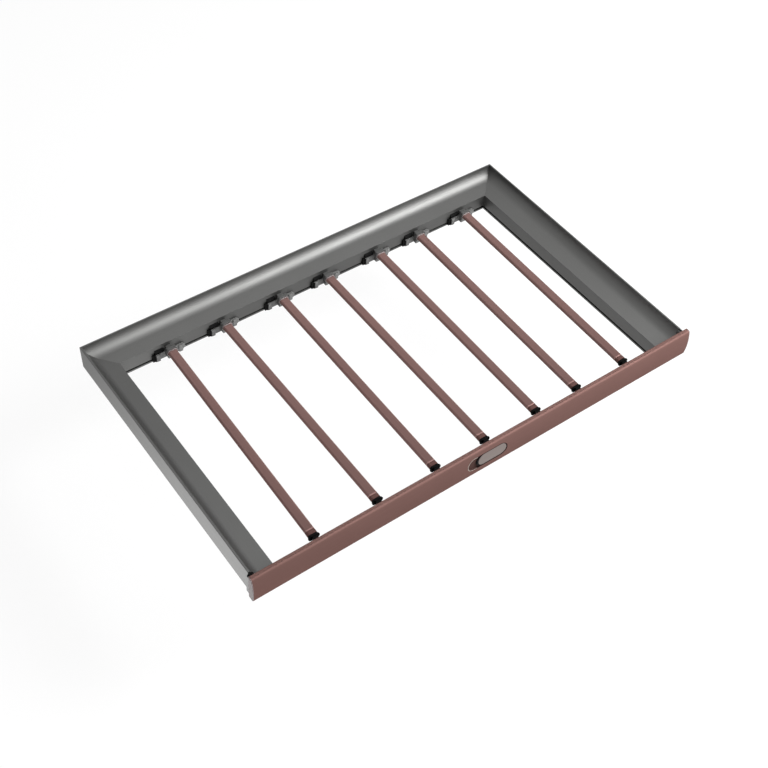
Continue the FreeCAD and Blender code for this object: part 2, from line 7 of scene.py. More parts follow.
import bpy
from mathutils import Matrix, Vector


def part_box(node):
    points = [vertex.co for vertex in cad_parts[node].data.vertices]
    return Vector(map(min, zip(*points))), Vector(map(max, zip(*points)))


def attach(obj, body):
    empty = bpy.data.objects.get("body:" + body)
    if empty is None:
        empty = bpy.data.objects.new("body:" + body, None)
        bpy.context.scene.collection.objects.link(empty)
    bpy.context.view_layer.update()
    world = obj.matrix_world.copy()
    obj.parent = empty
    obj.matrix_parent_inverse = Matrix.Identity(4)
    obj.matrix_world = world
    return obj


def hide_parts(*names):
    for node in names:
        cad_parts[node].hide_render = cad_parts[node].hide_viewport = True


bl_info = {
    "name": "Trouser rack",
    "version": (1, 0, 0),
    "blender": (4, 5, 0),
    "location": "3D View > Sidebar > Trouser rack",
    "description": "Models a pull-out trouser rack with adjustable hanging bars",
    "category": "Add Mesh",
}

import math

import bmesh
import bpy
from bpy.props import FloatProperty, FloatVectorProperty, IntProperty, PointerProperty
from mathutils import Matrix, Vector

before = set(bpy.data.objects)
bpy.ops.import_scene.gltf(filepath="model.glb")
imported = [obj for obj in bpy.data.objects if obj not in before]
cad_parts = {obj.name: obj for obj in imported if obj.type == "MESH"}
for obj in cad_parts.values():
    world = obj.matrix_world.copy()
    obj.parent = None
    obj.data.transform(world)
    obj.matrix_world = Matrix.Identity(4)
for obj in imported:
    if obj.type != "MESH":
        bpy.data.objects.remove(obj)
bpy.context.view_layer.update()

MM = 0.001
SIDES = {"left": -1, "right": 1}
BARS = sorted(int(name.rsplit("_", 1)[1]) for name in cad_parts
              if name.startswith("bar_tube_"))

# ---- places taken from the construction model ----------------------------------------------------
SIDE_LOW, SIDE_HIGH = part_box("side_profile_left")
OUTER_X, PROFILE_WIDTH = -SIDE_LOW.x, SIDE_HIGH.x - SIDE_LOW.x
FRONT_Y, REAR_Y = SIDE_LOW.y, SIDE_HIGH.y
LIP_TOP, FOOT = SIDE_HIGH.z, SIDE_LOW.z
PANEL_LOW, PANEL_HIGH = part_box("front_panel")
TRAY_LOW, TRAY_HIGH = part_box("slider_tray")
THUMB_LOW, THUMB_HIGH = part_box("thumb_slider")
TRACK_LOW, TRACK_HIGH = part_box("front_track")
RAIL_LOW, RAIL_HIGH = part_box("drawer_rail_left")

# ---- frame profile, as (u, z): u runs inwards from the outer face --------------------------------
WALL = 1.8 * MM
LIP = 3.2 * MM
COVE = 21.5 * MM
LEDGE_SLOPE = math.radians(9)
LIP_CHAMFER, RAIL_EDGE = 0.8 * MM, 0.13 * MM
OUTER_FOOT = 11 * MM
WEB_BOTTOM, WEB = 27 * MM, 1.5 * MM
GROOVE_LOW, GROOVE_HIGH, GROOVE_DEPTH = 4.7 * MM, 8.3 * MM, 3.8 * MM
GROOVE_LIP, GROOVE_SKIN = 1.85 * MM, 1.4 * MM
NOTCH_HALF, NOTCH_TOP = 15.5 * MM, 23 * MM
WING_TOP = 17 * MM

# ---- other sections ------------------------------------------------------------------------------
PANEL_SKIN, PANEL_EDGE = 1.8 * MM, 1.2 * MM
BULGE, CROWN_Z, SHOULDER = 123 * MM, 31 * MM, 3.8 * MM
SHOULDER_STEPS, BULGE_STEPS, EDGE_STEPS = 10, 22, 5
TOP_GROOVE, TOP_GROOVE_DEPTH = 0.45 * MM, 0.5 * MM
TRAY_RIM, TRAY_FLOOR = 1.0 * MM, 1.1 * MM
TRAY_PROUD, THUMB_SUNK, THUMB_INSET = 0.1 * MM, 0.4 * MM, 0.25 * MM
FINE_EDGE = 0.12 * MM
BAR_SIZE = (16.5 * MM, 8.5 * MM)

# ---- small trim ----------------------------------------------------------------------------------
CUP_FOOT_HALF, CUP_FOOT_HEIGHT, CUP_NECK_HALF = 7 * MM, 4 * MM, 4.1 * MM
BOSS_HALF, BOSS_FOOT = 10 * MM, 15 * MM
# Black pad and strip that paint the shadow the boss casts on a carrier's left wing: distances from
# the carrier's middle, and from the groove's wall.
SHADOW_PAD_NEAR, SHADOW_PAD_BEND, SHADOW_PAD_FAR = 25.2 * MM, 27 * MM, 30.2 * MM
SHADOW_PAD_THICK, SHADOW_PAD_THIN = 5.75 * MM, 3.8 * MM
SHADOW_STRIP_FAR, SHADOW_STRIP_LENGTH, SHADOW_STRIP_THICK = 25 * MM, 16 * MM, 3.2 * MM
SHADOW_STRIP_FRONT, SHADOW_STRIP_BACK = 4 * MM, 8 * MM
# A black disc and the blackened rim of the left flange paint the shade in the gap between the panel
# and the left side profile.
SHADE_DISC_RADIUS, SHADE_DISC_INWARDS, SHADE_DISC_Z = 4.8 * MM, 2.6 * MM, 50.8 * MM
FLANGE_RIM, FLANGE_RIM_Z = 11 * MM, 43 * MM
SCREW_RADIUS, SCREW_HEIGHT = 3.6 * MM, 2.2 * MM
# Screws of the corner keys and of the end blocks: distances from the frame's outer faces.
KEY_SCREWS, BLOCK_SCREWS, BLOCK_SCREW_Z = (10 * MM, 44 * MM), (12 * MM, 30 * MM), 20 * MM


class RackSizes(bpy.types.PropertyGroup):
    """Sizes that a maker would change without touching the construction model."""

    edge: FloatProperty(
        name="Edge rounding", description="Radius left on the edges of extruded pieces",
        default=0.35 * MM, min=0.05 * MM, max=0.8 * MM, unit="LENGTH", precision=5)
    arc_steps: IntProperty(
        name="Cove steps", description="Flats that make up the cove of the frame profile",
        default=28, min=8, max=64)
    bar_steps: IntProperty(
        name="Bar steps", description="Flats in each rounded side of a hanging bar",
        default=24, min=8, max=48)
    ring: FloatProperty(
        name="Bright ring", description="Width of the bright ring at the front end of each tube",
        default=2.3 * MM, min=0.8 * MM, max=4 * MM, unit="LENGTH", precision=5)
    crescent: FloatProperty(
        name="Finger stop", description="Width of the black stop at the thumb plate's left end",
        default=3.7 * MM, min=1 * MM, max=6 * MM, unit="LENGTH", precision=5)


class RackFinishes(bpy.types.PropertyGroup):
    """Colours and gloss of the finishes."""

    frame_grey: FloatVectorProperty(
        name="Frame", description="Iron-grey anodising of the frame profiles",
        default=(0.108, 0.108, 0.106), subtype="COLOR", size=3, min=0, max=1)
    panel_brown: FloatVectorProperty(
        name="Panel", description="Rose-brown anodising of the front panel",
        default=(0.158, 0.091, 0.081), subtype="COLOR", size=3, min=0, max=1)
    bar_brown: FloatVectorProperty(
        name="Bars", description="Rose-brown anodising of the bars",
        default=(0.198, 0.120, 0.111), subtype="COLOR", size=3, min=0, max=1)
    collar_brown: FloatVectorProperty(
        name="Collars", description="Darker brown of the bars' collars",
        default=(0.115, 0.062, 0.056), subtype="COLOR", size=3, min=0, max=1)
    cap_pink: FloatVectorProperty(
        name="End caps", description="Pinkish grey of the panel's end caps",
        default=(0.140, 0.112, 0.112), subtype="COLOR", size=3, min=0, max=1)
    silver: FloatVectorProperty(
        name="Thumb plate", description="Brushed silver grey of the thumb plate",
        default=(0.22, 0.185, 0.172), subtype="COLOR", size=3, min=0, max=1)
    black: FloatVectorProperty(
        name="Black plastic", description="Moulded black plastic and rubber",
        default=(0.004, 0.004, 0.004), subtype="COLOR", size=3, min=0, max=1)
    zinc: FloatVectorProperty(
        name="Zinc", description="Zinc plating of the runners and screws",
        default=(0.52, 0.53, 0.55), subtype="COLOR", size=3, min=0, max=1)
    satin: FloatProperty(
        name="Satin", description="Roughness of the grey anodised faces",
        default=0.52, min=0.1, max=0.8, subtype="FACTOR")
    matt: FloatProperty(
        name="Matt", description="Roughness of the brown anodised faces",
        default=0.78, min=0.1, max=0.9, subtype="FACTOR")


# ---- materials -----------------------------------------------------------------------------------
# Stands before each finish's name, since the construction model's materials have the plain names.
FINISH = "finish "


def shader(name, colour, metallic, roughness):
    """New material with a Principled shader; returns the material, its node tree and the shader."""
    material = bpy.data.materials.new(FINISH + name)
    material.use_nodes = True
    tree = material.node_tree
    principled = tree.nodes["Principled BSDF"]
    principled.inputs["Base Color"].default_value = (*colour, 1)
    principled.inputs["Metallic"].default_value = metallic
    principled.inputs["Roughness"].default_value = roughness
    material.diffuse_color = (*colour, 1)
    return material, tree, principled


def pattern(tree, scale, detail, stretch=(1, 1, 1)):
    """Noise on object coordinates, stretched; returns its value socket."""
    place = tree.nodes.new("ShaderNodeTexCoord")
    mapping = tree.nodes.new("ShaderNodeMapping")
    mapping.inputs["Scale"].default_value = stretch
    noise = tree.nodes.new("ShaderNodeTexNoise")
    noise.inputs["Scale"].default_value = scale
    noise.inputs["Detail"].default_value = detail
    tree.links.new(place.outputs["Object"], mapping.inputs["Vector"])
    tree.links.new(mapping.outputs["Vector"], noise.inputs["Vector"])
    return noise.outputs["Fac"]


def spread(tree, value, low, high, start=0.0, end=1.0, interpolation="LINEAR"):
    """Maps a value between start and end on to low to high."""
    node = tree.nodes.new("ShaderNodeMapRange")
    node.interpolation_type = interpolation
    limits = {"From Min": start, "From Max": end, "To Min": low, "To Max": high}
    for name, limit in limits.items():
        node.inputs[name].default_value = limit
    tree.links.new(value, node.inputs["Value"])
    return node.outputs["Result"]


def scaled(colour, factor):
    return [min(1.0, channel * factor) for channel in colour]


def tinted(tree, principled, value, colour, dark, light):
    """Colour between two shares of the full one, picked by the value."""
    mix = tree.nodes.new("ShaderNodeMix")
    mix.data_type = "RGBA"
    mix.inputs["A"].default_value = (*scaled(colour, dark), 1)
    mix.inputs["B"].default_value = (*scaled(colour, light), 1)
    tree.links.new(value, mix.inputs["Factor"])
    tree.links.new(mix.outputs["Result"], principled.inputs["Base Color"])


def roughened(tree, principled, value, low, high):
    """Roughness between low and high, picked by the value."""
    tree.links.new(spread(tree, value, low, high), principled.inputs["Roughness"])


def bumped(tree, principled, value, height):
    """Relief of this height, in metres, from the value."""
    bump = tree.nodes.new("ShaderNodeBump")
    bump.inputs["Strength"].default_value = 1.0
    bump.inputs["Distance"].default_value = height
    tree.links.new(value, bump.inputs["Height"])
    tree.links.new(bump.outputs["Normal"], principled.inputs["Normal"])


# Stretch of a pattern that draws lines along an axis.
GRAIN = {"x": (0.02, 1, 1), "y": (1, 0.02, 1)}


def anodised(name, colour, roughness, along, relief=0.004 * MM, rim=1.0):
    """Anodised aluminium with die lines along x or y; rim is its share of grazing light."""
    tree, principled = shader(name, colour, 1.0, roughness)[1:]
    principled.inputs["Specular Tint"].default_value = (rim, rim, rim, 1)
    lines = pattern(tree, 900, 3, GRAIN[along])
    tinted(tree, principled, pattern(tree, 14, 4), colour, 0.94, 1.06)
    roughened(tree, principled, lines, roughness - 0.07, roughness + 0.07)
    bumped(tree, principled, lines, relief)


def moulded(name, colour, roughness, shine=0.5):
    """Moulded plastic or rubber with a fine spark-eroded texture."""
    tree, principled = shader(name, colour, 0.0, roughness)[1:]
    principled.inputs["Specular IOR Level"].default_value = shine
    grains = pattern(tree, 700, 2)
    tinted(tree, principled, pattern(tree, 25, 3), colour, 0.85, 1.15)
    roughened(tree, principled, grains, roughness - 0.08, roughness + 0.08)
    bumped(tree, principled, grains, 0.02 * MM)


def plated(name, colour, roughness):
    """Zinc-plated rolled steel with a faint spangle."""
    tree, principled = shader(name, colour, 1.0, roughness)[1:]
    spangle = pattern(tree, 160, 3)
    tinted(tree, principled, spangle, colour, 0.82, 1.08)
    roughened(tree, principled, spangle, roughness - 0.08, roughness + 0.1)
    bumped(tree, principled, pattern(tree, 500, 2, GRAIN["y"]), 0.006 * MM)


def finish(name):
    """The finish of this name, made by the operator that comes first."""
    return bpy.data.materials[FINISH + name]


class RACK_OT_finishes(bpy.types.Operator):
    """Make every finish of the rack"""

    bl_idname = "rack.finishes"
    bl_label = "Finishes"

    def execute(self, context):
        looks = context.scene.rack_finishes
        for along in ("x", "y"):
            anodised("frame_grey_" + along, looks.frame_grey, looks.satin, along)
        anodised("panel_brown", looks.panel_brown, looks.matt, "x", rim=0.3)
        anodised("bar_brown", looks.bar_brown, looks.matt, "y", rim=0.2)
        anodised("collar_brown", looks.collar_brown, looks.matt, "y", rim=0.4)
        anodised("track_grey", scaled(looks.frame_grey, 0.8), looks.satin, "x")
        anodised("mill_aluminium", (0.5, 0.5, 0.51), 0.42, "x")
        anodised("tray_brown", scaled(looks.panel_brown, 0.5), looks.matt, "x", rim=0.5)
        # Painted light on the tray's rim: a near-black brown paints the shadow in the gap along the
        # thumb plate, and a light grey paints a highlight on the rim left of the plate.
        anodised("tray_shadow", scaled(looks.panel_brown, 0.12), looks.matt, "x", rim=0.2)
        anodised("cut_edge", (0.42, 0.37, 0.33), 0.4, "x")
        anodised("bright_ring", scaled(looks.bar_brown, 1.2), 0.65, "y", rim=0.7)
        anodised("thumb_silver", looks.silver, 0.42, "x", relief=0.01 * MM)
        moulded("cap_grey_pink", looks.cap_pink, 0.5, shine=0.2)
        moulded("carrier_grey", scaled(looks.frame_grey, 0.8), 0.42)
        # Painted shade: a darker copy of the holders' grey for the top of their socket blocks.
        moulded("carrier_dark", scaled(looks.frame_grey, 0.45), 0.6, shine=0.3)
        moulded("flange_dark", scaled(looks.frame_grey, 0.22), 0.6, shine=0.3)
        moulded("lip_grey", scaled(looks.cap_pink, 0.9), 0.4)
        moulded("black_plastic", looks.black, 0.5, shine=0.03)
        # Black rubber of the cups and buffers; the same black also paints the shadow on the
        # holders' left wings and the shade at the left front corner.
        moulded("black_rubber", looks.black, 0.65, shine=0.03)
        moulded("nylon_white", (0.72, 0.71, 0.66), 0.35)
        plated("runner_zinc", looks.zinc, 0.3)
        plated("screw_zinc", scaled(looks.zinc, 1.1), 0.24)
        plated("roller_steel", (0.72, 0.72, 0.74), 0.12)
        return {"FINISHED"}


# ---- modelling helpers ---------------------------------------------------------------------------
WELD = 0.001 * MM
# Degrees between two faces from which their edge counts as sharp, on plain and on curved pieces.
CREASE, CURVED_CREASE = 32, 40


def at_rest():
    """Leaves edit mode with nothing selected."""
    if bpy.context.object and bpy.context.object.mode != "OBJECT":
        bpy.ops.object.mode_set(mode="OBJECT")
    bpy.ops.object.select_all(action="DESELECT")


def edit():
    bpy.ops.object.mode_set(mode="EDIT")


def select(action="SELECT"):
    """In edit mode, selects or deselects the whole mesh."""
    bpy.ops.mesh.select_all(action=action)


def extrude(step):
    """In edit mode, extrudes what is selected by this step."""
    bpy.ops.mesh.extrude_region_move(TRANSFORM_OT_translate={"value": step})


def choose(kind, test):
    """In edit mode, selects only the edges or faces that pass the test."""
    mesh = bmesh.from_edit_mesh(bpy.context.object.data)
    bpy.ops.mesh.select_mode(type={"edges": "EDGE", "faces": "FACE"}[kind])
    select("DESELECT")
    for element in getattr(mesh, kind):
        if test(element):
            element.select_set(True)
    mesh.select_flush_mode()
    bmesh.update_edit_mesh(bpy.context.object.data)


class Pen:
    """Draws the outline of a section in edit mode; place turns (a, b) into a point of the rack."""

    def __init__(self, place, a, b):
        self.place, self.start, self.here = place, (a, b), (a, b)
        begun = bpy.context.object and bpy.context.object.mode == "EDIT"
        if begun:
            select("DESELECT")
        else:
            at_rest()
        bpy.ops.mesh.primitive_plane_add(size=MM, location=place(a, b))
        if not begun:
            edit()
        bpy.ops.mesh.select_mode(type="VERT")
        bpy.ops.mesh.merge(type="CENTER")

    def line(self, *points):
        """Straight runs through the points."""
        for point in points:
            extrude(self.place(*point) - self.place(*self.here))
            self.here = point
        return self

    def arc(self, centre, turn, steps):
        """Arc about the centre through this turn, counted from a towards b."""
        origin = self.place(0, 0)
        right, up = self.place(1, 0) - origin, self.place(0, 1) - origin
        bpy.ops.mesh.spin(steps=steps, angle=-turn, center=self.place(*centre),
                          axis=right.cross(up))
        a, b = self.here[0] - centre[0], self.here[1] - centre[1]
        self.here = (centre[0] + a * math.cos(turn) - b * math.sin(turn),
                     centre[1] + a * math.sin(turn) + b * math.cos(turn))
        return self

    def close(self):
        self.line(self.start)
        select()
        bpy.ops.mesh.remove_doubles(threshold=WELD)


def sweep(direction):
    """Extrudes everything drawn so far."""
    select()
    extrude(direction)


def prism(name, place, outline, direction):
    """Solid whose outline of (a, b) points is swept along the direction."""
    Pen(place, *outline[0]).line(*outline[1:]).close()
    bpy.ops.mesh.edge_face_add()
    sweep(direction)
    return named(name)


def cut_off(point, outward):
    """Cuts away what lies beyond the plane and closes the end."""
    select()
    bpy.ops.mesh.bisect(plane_co=point, plane_no=outward, use_fill=True, clear_outer=True)


def named(name):
    """Ends the modelling of the active object and puts its place into its mesh."""
    if bpy.context.object.mode == "EDIT":
        select()
        bpy.ops.mesh.remove_doubles(threshold=WELD)
        bpy.ops.mesh.normals_make_consistent(inside=False)
    at_rest()
    piece = bpy.context.view_layer.objects.active
    piece.name = piece.data.name = name
    piece.select_set(True)
    bpy.ops.object.transform_apply(location=True, rotation=True, scale=True)
    return piece


def apply_modifier(piece, kind, **values):
    """Adds a modifier, sets it and applies it."""
    at_rest()
    bpy.context.view_layer.objects.active = piece
    piece.select_set(True)
    bpy.ops.object.modifier_add(type=kind)
    modifier = piece.modifiers[-1]
    for key, value in values.items():
        setattr(modifier, key, value)
    bpy.ops.object.modifier_apply(modifier=modifier.name)


def smooth(piece, angle=CREASE):
    """Shades the piece smooth but for its sharp edges."""
    at_rest()
    bpy.context.view_layer.objects.active = piece
    piece.select_set(True)
    bpy.ops.object.shade_smooth_by_angle(angle=math.radians(angle))


def soften(piece, width, angle=CREASE, segments=2):
    """Rounds the sharp edges and smooths the rest."""
    smooth(piece, angle)
    apply_modifier(piece, "BEVEL", width=width, segments=segments, limit_method="ANGLE",
                   angle_limit=math.radians(angle), harden_normals=True, use_clamp_overlap=True)


def carve(piece, cutter, operation="DIFFERENCE"):
    """Cuts the cutter out of the piece, or keeps what both share, and removes the cutter."""
    apply_modifier(piece, "BOOLEAN", operation=operation, solver="EXACT", object=cutter)
    bpy.data.objects.remove(cutter)


def wear(piece, body, material, slot, *nodes):
    """Gives the piece its finish and body, and hides the nodes that it stands for. The slot is not
    used.
    """
    piece.data.materials.clear()
    piece.data.materials.append(finish(material))
    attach(piece, body)
    if nodes:
        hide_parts(*nodes)
    return piece


def copied(piece, name, matrix):
    """Copy of a finished piece with its own mesh, moved by the matrix."""
    at_rest()
    twin = piece.copy()
    twin.data = piece.data.copy()
    twin.name = twin.data.name = name
    bpy.context.scene.collection.objects.link(twin)
    twin.data.transform(matrix)
    if matrix.determinant() < 0:
        twin.data.flip_normals()
    return twin


def mirrored(piece, name):
    """The right-hand twin of a left-hand piece."""
    return copied(piece, name, Matrix.Scale(-1, 4, Vector((1, 0, 0))))


def oval(name, steps, arc_steps):
    """Flat oval piece along +Y, hollow if its steps end where they start.

    Each step is (wider, higher, y): how far the outline goes beyond the bar's section, and where.
    """
    (wider, higher, y), hollow = steps[0], steps[0] == steps[-1]
    half_width, half_height = BAR_SIZE[0] / 2 + wider, BAR_SIZE[1] / 2 + higher
    flat = half_width - half_height
    pen = Pen(lambda a, b: Vector((a, y, b)), flat, -half_height)
    pen.arc((flat, 0), math.pi, arc_steps).line((-flat, half_height))
    pen.arc((-flat, 0), math.pi, arc_steps).close()
    if not hollow:
        bpy.ops.mesh.edge_face_add()
    for wider, higher, next_y in steps[1:]:
        extrude((0, next_y - y, 0))
        next_width, next_height, y = BAR_SIZE[0] / 2 + wider, BAR_SIZE[1] / 2 + higher, next_y
        bpy.ops.transform.resize(value=(next_width / half_width, 1, next_height / half_height),
                                 center_override=(0, y, 0))
        half_width, half_height = next_width, next_height
    return named(name)


def block(low, high):
    """Adds a box between two corners and stays in edit mode."""
    at_rest()
    low, high = Vector(low), Vector(high)
    bpy.ops.mesh.primitive_cube_add(size=1, location=(low + high) / 2, scale=high - low)
    edit()


# ---- frame profiles ------------------------------------------------------------------------------
COVE_CENTRE = (LIP + COVE, LIP_TOP)
COVE_TURN = math.pi / 2 - LEDGE_SLOPE


def ledge_z(u, sunk=0.0):
    """Height of the ledge, sunk below its surface, at u."""
    radius = COVE + sunk
    end_u = COVE_CENTRE[0] - radius * math.cos(COVE_TURN)
    end_z = COVE_CENTRE[1] - radius * math.sin(COVE_TURN)
    return end_z - (u - end_u) * math.tan(LEDGE_SLOPE)


def draw_profile(place, steps):
    """Outline and hollow chamber of the coved extrusion."""
    inner, wall = PROFILE_WIDTH, PROFILE_WIDTH - WALL
    back = wall - GROOVE_DEPTH
    low, high = GROOVE_LOW - GROOVE_LIP, GROOVE_HIGH + GROOVE_LIP
    shell, shell_top = back - GROOVE_SKIN, high + GROOVE_SKIN
    pen = Pen(place, LIP, LIP_TOP)
    pen.arc(COVE_CENTRE, COVE_TURN, steps)
    pen.line((inner, ledge_z(inner)), (inner, GROOVE_HIGH), (wall, GROOVE_HIGH), (wall, high),
             (back, high), (back, low), (wall, low), (wall, GROOVE_LOW), (inner, GROOVE_LOW),
             (inner, FOOT), (shell, FOOT), (shell, shell_top), (wall, shell_top),
             (wall, WEB_BOTTOM), (WALL, WEB_BOTTOM), (WALL, OUTER_FOOT), (0, OUTER_FOOT),
             (0, LIP_TOP - LIP_CHAMFER), (LIP_CHAMFER, LIP_TOP)).close()
    radius = COVE + WALL
    first = math.acos((COVE_CENTRE[0] - WALL) / radius)
    web_top = WEB_BOTTOM + WEB
    pen = Pen(place, WALL, LIP_TOP - radius * math.sin(first))
    pen.arc(COVE_CENTRE, COVE_TURN - first, steps)
    pen.line((wall, ledge_z(wall, WALL)), (wall, web_top), (WALL, web_top)).close()


def mitred(name, *cuts):
    """Rail from the drawn section: its long edges are rounded before its ends are cut.

    The fill of a cut end has seams that differ from run to run, and they would limit the rounding.
    """
    rail = named(name)
    apply_modifier(rail, "BEVEL", width=RAIL_EDGE, segments=2, limit_method="ANGLE",
                   angle_limit=math.radians(CREASE))
    edit()
    for point, outward in cuts:
        cut_off(point, Vector(outward).normalized())
    return named(name)


def evened(rail):
    """Smooths a mitred rail and keeps the shading of its flat faces even."""
    smooth(rail)
    apply_modifier(rail, "WEIGHTED_NORMAL", keep_sharp=True, weight=100)


class RACK_OT_frame(bpy.types.Operator):
    """Model the two side profiles and the rear profile with their mitres"""

    bl_idname = "rack.frame"
    bl_label = "Frame profiles"

    def execute(self, context):
        sizes = context.scene.rack_sizes
        spare = 5 * MM
        draw_profile(lambda u, z: Vector((u - OUTER_X, FRONT_Y - spare, z)), sizes.arc_steps)
        sweep((0, REAR_Y - FRONT_Y + 2 * spare, 0))
        left = mitred("left_side_rail", ((0, FRONT_Y, 0), (0, -1, 0)),
                      ((-OUTER_X, REAR_Y, 0), (1, 1, 0)))
        right = mirrored(left, "right_side_rail")
        evened(left)
        evened(right)
        wear(left, "rack", "frame_grey_y", "frame_grey", "side_profile_left")
        wear(right, "rack", "frame_grey_y", "frame_grey", "side_profile_right")

        draw_profile(lambda u, z: Vector((-OUTER_X - spare, REAR_Y - u, z)), sizes.arc_steps)
        sweep((2 * OUTER_X + 2 * spare, 0, 0))
        rear = mitred("rear_rail", ((-OUTER_X, REAR_Y, 0), (-1, -1, 0)),
                      ((OUTER_X, REAR_Y, 0), (1, -1, 0)))
        centre = (RAIL_LOW.x + RAIL_HIGH.x) / 2
        for side in SIDES.values():
            block((side * centre - NOTCH_HALF, REAR_Y - 2 * WALL, FOOT),
                  (side * centre + NOTCH_HALF, REAR_Y + WALL, NOTCH_TOP))
            carve(rear, named("notch"))
        evened(rear)
        wear(rear, "rack", "frame_grey_x", "frame_grey", "rear_profile")
        return {"FINISHED"}


# ---- front panel and its caps --------------------------------------------------------------------
def draw_panel(x, sunk):
    """Section of the panel at x, sunk inside its surface: shoulder, bulge, foot and back."""
    top, foot, back = PANEL_HIGH.z - sunk, PANEL_LOW.z + sunk, PANEL_HIGH.y - sunk
    bulge, shoulder = BULGE - sunk, SHOULDER - sunk
    centre_y = PANEL_LOW.y + BULGE
    shoulder_z = PANEL_HIGH.z - SHOULDER
    rise = shoulder_z - CROWN_Z
    shoulder_y = centre_y - math.sqrt((bulge - shoulder) ** 2 - rise ** 2)
    meets = math.atan2(rise, centre_y - shoulder_y)
    drop = math.asin((CROWN_Z - foot) / bulge)
    pen = Pen(lambda y, z: Vector((x, y, z)), shoulder_y, top)
    pen.arc((shoulder_y, shoulder_z), math.pi / 2 - meets, SHOULDER_STEPS)
    pen.arc((centre_y, CROWN_Z), meets + drop, BULGE_STEPS)
    edge = max(PANEL_EDGE - sunk, 0.1 * MM)
    pen.line((back - edge, foot)).arc((back - edge, foot + edge), math.pi / 2, EDGE_STEPS)
    pen.line((back, top - edge)).arc((back - edge, top - edge), math.pi / 2, EDGE_STEPS).close()


def panel_bar(name, left, right, *depths):
    """Bar of the panel's section between two values of x, one outline for each depth."""
    for depth in depths:
        draw_panel(left, depth)
    sweep((right - left, 0, 0))
    trim = 0.01 * MM
    cut_off((left + trim, 0, 0), (-1, 0, 0))
    cut_off((right - trim, 0, 0), (1, 0, 0))
    return named(name)


def obround(name, low, high):
    """Plate with round ends between two corners, its length along X."""
    block(low, high)
    choose("edges", lambda edge: abs((edge.verts[0].co - edge.verts[1].co).normalized().y) > 0.9)
    bpy.ops.mesh.bevel(offset=(high[2] - low[2]) / 2 * 0.9999, segments=24, affect="EDGES")
    return named(name)


class RACK_OT_panel(bpy.types.Operator):
    """Model the bulged front panel and its two end caps"""

    bl_idname = "rack.panel"
    bl_label = "Front panel"

    def execute(self, context):
        sizes = context.scene.rack_sizes
        panel = panel_bar("front_fascia", PANEL_LOW.x, PANEL_HIGH.x, 0.0, PANEL_SKIN)
        gap, beyond, deep = 0.05 * MM, 1 * MM, 5 * MM
        carve(panel, obround("opening", (TRAY_LOW.x - gap, PANEL_LOW.y - beyond, TRAY_LOW.z - gap),
                             (TRAY_HIGH.x + gap, PANEL_LOW.y + deep, TRAY_HIGH.z + gap)))
        flat_front = PANEL_LOW.y + BULGE - math.sqrt(
            (BULGE - SHOULDER) ** 2 - (PANEL_HIGH.z - SHOULDER - CROWN_Z) ** 2)
        block((PANEL_LOW.x - beyond, flat_front, PANEL_HIGH.z - TOP_GROOVE_DEPTH),
              (PANEL_HIGH.x + beyond, flat_front + TOP_GROOVE, PANEL_HIGH.z + beyond))
        carve(panel, named("groove"))
        soften(panel, FINE_EDGE, CURVED_CREASE)
        wear(panel, "rack", "panel_brown", "panel_brown", "front_panel")

        cap_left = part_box("panel_cap_left")[0].x
        left = panel_bar("left_end_cap", cap_left, PANEL_LOW.x, 0.0)
        soften(left, sizes.edge, CURVED_CREASE, segments=3)
        right = mirrored(left, "right_end_cap")
        wear(left, "rack", "cap_grey_pink", "cap_grey_pink", "panel_cap_left")
        wear(right, "rack", "cap_grey_pink", "cap_grey_pink", "panel_cap_right")
        return {"FINISHED"}


# ---- thumb slider --------------------------------------------------------------------------------
def inlaid(name, low, high, sunk):
    """Obround plate between two corners, its front following the panel's bulge at this depth."""
    beyond = 5 * MM
    plate = obround(name, (low[0], low[1] - beyond, low[2]), high)
    carve(plate, panel_bar("bulge", low[0] - beyond, high[0] + beyond, sunk), "INTERSECT")
    return plate


